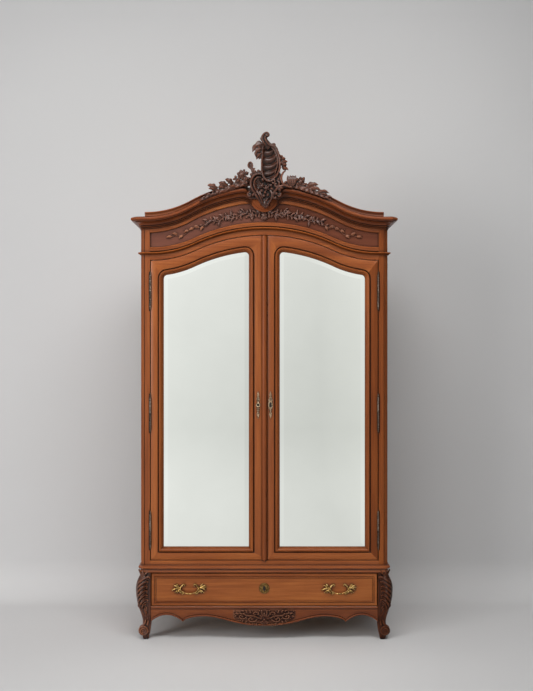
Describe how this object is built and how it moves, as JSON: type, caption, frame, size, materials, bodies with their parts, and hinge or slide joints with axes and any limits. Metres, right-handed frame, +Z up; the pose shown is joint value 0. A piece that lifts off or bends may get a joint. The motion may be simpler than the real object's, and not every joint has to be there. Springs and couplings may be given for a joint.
{
  "type": "armoire",
  "caption": "Tall wooden armoire with bevelled mirror doors, a base drawer, cabriole front legs, a serpentine cornice and a carved rococo crest.",
  "frame": {"origin": "middle of the outside box, on the floor", "axes": "+Z up, the doors face -Y, +X to the right of someone who faces the doors"},
  "size_m": [1.328, 0.56, 2.545],
  "materials": {
    "walnut": "waxed orange-brown walnut with a soft sheen",
    "carved_walnut": "darker waxed walnut, hand carved",
    "frieze_walnut": "darker reddish waxed walnut",
    "inner_wood": "plain planed boards, matt",
    "mirror_glass": "silvered plate glass with a bevelled edge",
    "brass": "aged cast brass",
    "iron": "dark forged iron, worn"
  },
  "bodies": {
    "carcass": {"front_leg_left": "carved_walnut", "front_leg_right": "carved_walnut", "rear_legs": "walnut", "front_apron": "walnut", "apron_carving": "carved_walnut", "base_boards": "walnut", "drawer_rail": "walnut", "drawer_runners": "inner_wood", "waist_moulding": "walnut", "dust_board": "inner_wood", "corner_post_left": "walnut", "corner_post_right": "walnut", "side_frames": "walnut", "side_panels": "walnut", "back_frame": "inner_wood", "back_panels": "inner_wood", "bottom_board": "walnut", "top_board": "inner_wood", "header_rail": "walnut", "neck_moulding": "walnut", "frieze_rails": "walnut", "frieze_panel": "frieze_walnut", "frieze_carving": "carved_walnut", "cornice_front": "walnut", "cornice_returns": "walnut", "cornice_fillet": "walnut", "crest_cartouche": "carved_walnut", "crest_spray_left": "carved_walnut", "crest_spray_right": "carved_walnut", "hat_shelf": "inner_wood", "shelf_cleats": "inner_wood", "hanging_rail": "brass", "rail_sockets": "brass", "hinge_pins": "iron"},
    "left_door": {"left_door_stiles": "walnut", "left_door_rails": "walnut", "left_mirror": "mirror_glass", "left_mirror_back": "inner_wood", "left_door_knuckles": "iron", "left_escutcheon": "brass", "astragal": "walnut", "door_lock_case": "iron"},
    "right_door": {"right_door_stiles": "walnut", "right_door_rails": "walnut", "right_mirror": "mirror_glass", "right_mirror_back": "inner_wood", "right_door_knuckles": "iron", "right_escutcheon": "brass", "lock_keeper": "iron"},
    "drawer": {"drawer_front": "walnut", "drawer_box": "inner_wood", "drawer_bottom": "inner_wood", "handle_plates": "brass", "drawer_lock_case": "iron"},
    "bail_left": {"bail_left": "brass"},
    "bail_right": {"bail_right": "brass"},
    "door_bolt": {"door_lock_bolt": "brass"},
    "upper_bolt": {"upper_flush_bolt": "iron"},
    "lower_bolt": {"lower_flush_bolt": "iron"},
    "drawer_bolt": {"drawer_lock_bolt": "brass"}
  },
  "joints": [
    {"name": "left_door_hinge", "type": "hinge", "parent": "carcass", "child": "left_door", "pos_m": [-0.57, -0.211, 1.15], "axis": [0, 0, -1], "range_deg": [0, 110]},
    {"name": "right_door_hinge", "type": "hinge", "parent": "carcass", "child": "right_door", "pos_m": [0.57, -0.211, 1.15], "axis": [0, 0, 1], "range_deg": [0, 110]},
    {"name": "drawer_slide", "type": "slide", "parent": "carcass", "child": "drawer", "axis": [0, -1, 0], "range_m": [0, 0.33]},
    {"name": "left_bail_hinge", "type": "hinge", "parent": "drawer", "child": "bail_left", "pos_m": [-0.374, -0.227, 0.257], "axis": [-1, 0, 0], "range_deg": [0, 80]},
    {"name": "right_bail_hinge", "type": "hinge", "parent": "drawer", "child": "bail_right", "pos_m": [0.374, -0.227, 0.257], "axis": [-1, 0, 0], "range_deg": [0, 80]},
    {"name": "door_bolt_slide", "type": "slide", "parent": "left_door", "child": "door_bolt", "axis": [1, 0, 0], "range_m": [0, 0.012]},
    {"name": "upper_bolt_slide", "type": "slide", "parent": "right_door", "child": "upper_bolt", "axis": [0, 0, 1], "range_m": [0, 0.014]},
    {"name": "lower_bolt_slide", "type": "slide", "parent": "right_door", "child": "lower_bolt", "axis": [0, 0, -1], "range_m": [0, 0.014]},
    {"name": "drawer_bolt_slide", "type": "slide", "parent": "drawer", "child": "drawer_bolt", "axis": [0, 0, 1], "range_m": [0, 0.012]}
  ]
}
